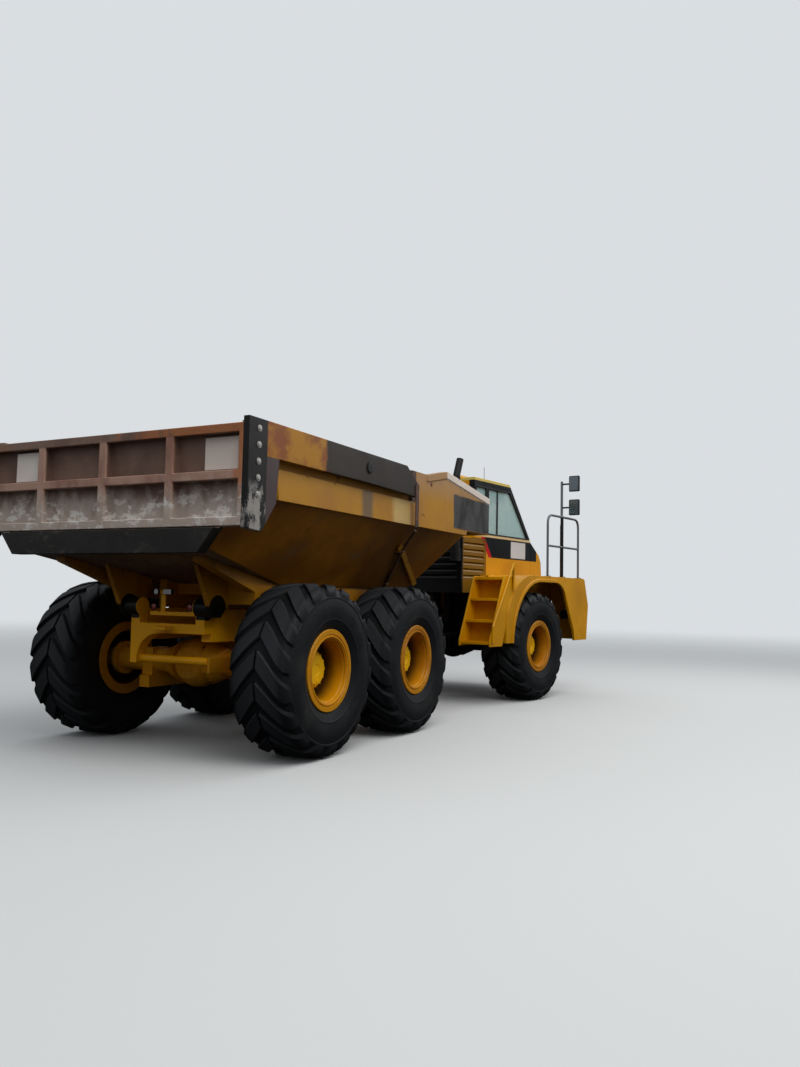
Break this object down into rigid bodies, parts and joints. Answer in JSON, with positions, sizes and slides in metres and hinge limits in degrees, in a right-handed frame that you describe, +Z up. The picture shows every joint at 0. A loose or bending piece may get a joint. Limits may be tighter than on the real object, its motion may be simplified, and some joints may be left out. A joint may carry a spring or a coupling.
{
  "type": "articulated dump truck",
  "caption": "Six-wheel articulated hauler: a cab tractor hinged to a rear frame that carries a tipping bed with a framed tailgate.",
  "frame": {"origin": "on the ground below the middle of the bounding box, as it stands with the tractor turned 8.9 degrees to the right", "axes": "+X forward along the rear frame, +Y to the left, +Z up"},
  "size_m": [10.0007, 3.8538, 3.8614],
  "materials": {
    "axle_yellow": "dirty",
    "bed_yellow": "scratched",
    "cab_yellow": "satin",
    "dark_plastic": "matt",
    "dark_steel": "satin",
    "frame_yellow": "worn",
    "lamp_clear": "gloss",
    "lamp_red": "gloss",
    "rim_yellow": "chipped",
    "rod_chrome": "polished",
    "rusty_brown": "rusty",
    "seat_fabric": "matt",
    "sign_white": "worn",
    "tyre_rubber": "worn",
    "window_glass": "clear",
    "worn_steel": "worn"
  },
  "bodies": {
    "rear_chassis": {"rear_frame": "frame_yellow", "middle_axle": "axle_yellow", "rear_axle": "axle_yellow", "bogie_beams": "axle_yellow", "drive_shafts": "dark_steel", "tail_lamps": "lamp_red"},
    "bed": {"bed_floor": "worn_steel", "bed_side_left": "bed_yellow", "bed_side_right": "bed_yellow", "bed_underframe": "bed_yellow"},
    "tailgate": {"tailgate_panel": "rusty_brown", "tailgate_arms": "rusty_brown", "gate_straps": "dark_steel", "blank_signs": "sign_white"},
    "hitch": {"hitch_yoke": "dark_steel"},
    "tractor": {"front_frame": "dark_steel", "front_axle": "dark_steel", "engine_block": "dark_steel", "cab_shell": "cab_yellow", "cab_glass": "window_glass", "driver_seat": "seat_fabric", "cab_controls": "dark_plastic", "nose_panel": "cab_yellow", "nose_grille": "dark_steel", "head_lamps": "lamp_clear", "fender_left": "cab_yellow", "fender_right": "cab_yellow", "cooling_box": "cab_yellow", "exhaust_stack": "dark_steel", "deck_rails": "dark_steel", "mirrors": "dark_plastic"},
    "door": {"cab_door": "cab_yellow", "door_glass": "window_glass"},
    "hood": {"hood": "cab_yellow"},
    "wheel_front_left": {"tyre_front_left": "tyre_rubber", "rim_front_left": "rim_yellow"},
    "wheel_front_right": {"tyre_front_right": "tyre_rubber", "rim_front_right": "rim_yellow"},
    "wheel_middle_left": {"tyre_middle_left": "tyre_rubber", "rim_middle_left": "rim_yellow"},
    "wheel_middle_right": {"tyre_middle_right": "tyre_rubber", "rim_middle_right": "rim_yellow"},
    "wheel_rear_left": {"tyre_rear_left": "tyre_rubber", "rim_rear_left": "rim_yellow"},
    "wheel_rear_right": {"tyre_rear_right": "tyre_rubber", "rim_rear_right": "rim_yellow"},
    "hoist_barrel_left": {"hoist_barrel_left": "bed_yellow"},
    "hoist_rod_left": {"hoist_rod_left": "rod_chrome"},
    "hoist_barrel_right": {"hoist_barrel_right": "bed_yellow"},
    "hoist_rod_right": {"hoist_rod_right": "rod_chrome"},
    "steer_barrel_left": {"steer_barrel_left": "dark_steel"},
    "steer_rod_left": {"steer_rod_left": "rod_chrome"},
    "steer_barrel_right": {"steer_barrel_right": "dark_steel"},
    "steer_rod_right": {"steer_rod_right": "rod_chrome"}
  },
  "joints": [
    {"name": "oscillation", "type": "hinge", "parent": "rear_chassis", "child": "hitch", "pos_m": [1.62007, 0.19815, 1], "axis": [1, 0, 0], "range_deg": [-15, 15]},
    {"name": "steer", "type": "hinge", "parent": "hitch", "child": "tractor", "pos_m": [1.62007, 0.19815, 1], "axis": [0, 0, 1], "range_deg": [-36.1, 53.9]},
    {"name": "bed_tip", "type": "hinge", "parent": "rear_chassis", "child": "bed", "pos_m": [-3.99593, 0.19815, 1.46], "axis": [0, -1, 0], "range_deg": [0, 70]},
    {"name": "gate_swing", "type": "hinge", "parent": "bed", "child": "tailgate", "pos_m": [-2.88593, 0.19815, 2.985], "axis": [0, 1, 0], "range_deg": [0, 56]},
    {"name": "door_swing", "type": "hinge", "parent": "tractor", "child": "door", "pos_m": [2.76255, 0.84923, 2.35], "axis": [0, 0, 1], "range_deg": [0, 75]},
    {"name": "hood_tilt", "type": "hinge", "parent": "tractor", "child": "hood", "pos_m": [4.6284, -0.27294, 2.057], "axis": [0.1547, 0.988, 0], "range_deg": [0, 60]},
    {"name": "wheel_front_left_roll", "type": "hinge", "parent": "tractor", "child": "wheel_front_left", "pos_m": [3.08441, 1.34035, 0.865], "axis": [0.1547, 0.988, 0], "continuous": true},
    {"name": "wheel_front_right_roll", "type": "hinge", "parent": "tractor", "child": "wheel_front_right", "pos_m": [2.66514, -1.33702, 0.865], "axis": [0.1547, 0.988, 0], "continuous": true},
    {"name": "wheel_middle_left_roll", "type": "hinge", "parent": "rear_chassis", "child": "wheel_middle_left", "pos_m": [-1.52993, 1.55315, 0.865], "axis": [0, 1, 0], "continuous": true},
    {"name": "wheel_middle_right_roll", "type": "hinge", "parent": "rear_chassis", "child": "wheel_middle_right", "pos_m": [-1.52993, -1.15685, 0.865], "axis": [0, 1, 0], "continuous": true},
    {"name": "wheel_rear_left_roll", "type": "hinge", "parent": "rear_chassis", "child": "wheel_rear_left", "pos_m": [-3.49593, 1.55315, 0.865], "axis": [0, 1, 0], "continuous": true},
    {"name": "wheel_rear_right_roll", "type": "hinge", "parent": "rear_chassis", "child": "wheel_rear_right", "pos_m": [-3.49593, -1.15685, 0.865], "axis": [0, 1, 0], "continuous": true},
    {"name": "hoist_turn_left", "type": "hinge", "parent": "rear_chassis", "child": "hoist_barrel_left", "pos_m": [-0.49593, 0.91815, 0.85], "axis": [0, -1, 0], "range_deg": [-13.48, 0]},
    {"name": "hoist_slide_left", "type": "slide", "parent": "hoist_barrel_left", "child": "hoist_rod_left", "axis": [-0.9406, 0, 0.3395], "range_m": [0, 1.546]},
    {"name": "hoist_turn_right", "type": "hinge", "parent": "rear_chassis", "child": "hoist_barrel_right", "pos_m": [-0.49593, -0.52185, 0.85], "axis": [0, -1, 0], "range_deg": [-13.48, 0]},
    {"name": "hoist_slide_right", "type": "slide", "parent": "hoist_barrel_right", "child": "hoist_rod_right", "axis": [-0.9406, 0, 0.3395], "range_m": [0, 1.546]},
    {"name": "steer_turn_left", "type": "hinge", "parent": "tractor", "child": "steer_barrel_left", "pos_m": [2.56338, 0.4047, 1], "axis": [0, 0, 1], "range_deg": [-9.48, 6.52]},
    {"name": "steer_slide_left", "type": "slide", "parent": "steer_barrel_left", "child": "steer_rod_left", "axis": [-0.9943, 0.1066, 0], "range_m": [-0.3193, 0.2152]},
    {"name": "steer_turn_right", "type": "hinge", "parent": "tractor", "child": "steer_barrel_right", "pos_m": [2.45508, -0.28688, 1], "axis": [0, 0, 1], "range_deg": [-10.78, 7.39]},
    {"name": "steer_slide_right", "type": "slide", "parent": "steer_barrel_right", "child": "steer_rod_right", "axis": [-0.9897, 0.1434, 0], "range_m": [-0.2021, 0.2998]}
  ],
  "couplings": [
    {"joint": "gate_swing", "follows": "bed_tip", "ratio": 0.8},
    {"joint": "hoist_turn_left", "follows": "bed_tip", "ratio": -0.18545},
    {"joint": "hoist_slide_left", "follows": "bed_tip", "m_per_rad": 1.2613},
    {"joint": "hoist_turn_right", "follows": "bed_tip", "ratio": -0.18545},
    {"joint": "hoist_slide_right", "follows": "bed_tip", "m_per_rad": 1.2613},
    {"joint": "steer_turn_left", "follows": "steer", "ratio": -0.16665},
    {"joint": "steer_slide_left", "follows": "steer", "m_per_rad": -0.33514},
    {"joint": "steer_turn_right", "follows": "steer", "ratio": -0.19074},
    {"joint": "steer_slide_right", "follows": "steer", "m_per_rad": 0.31438}
  ]
}
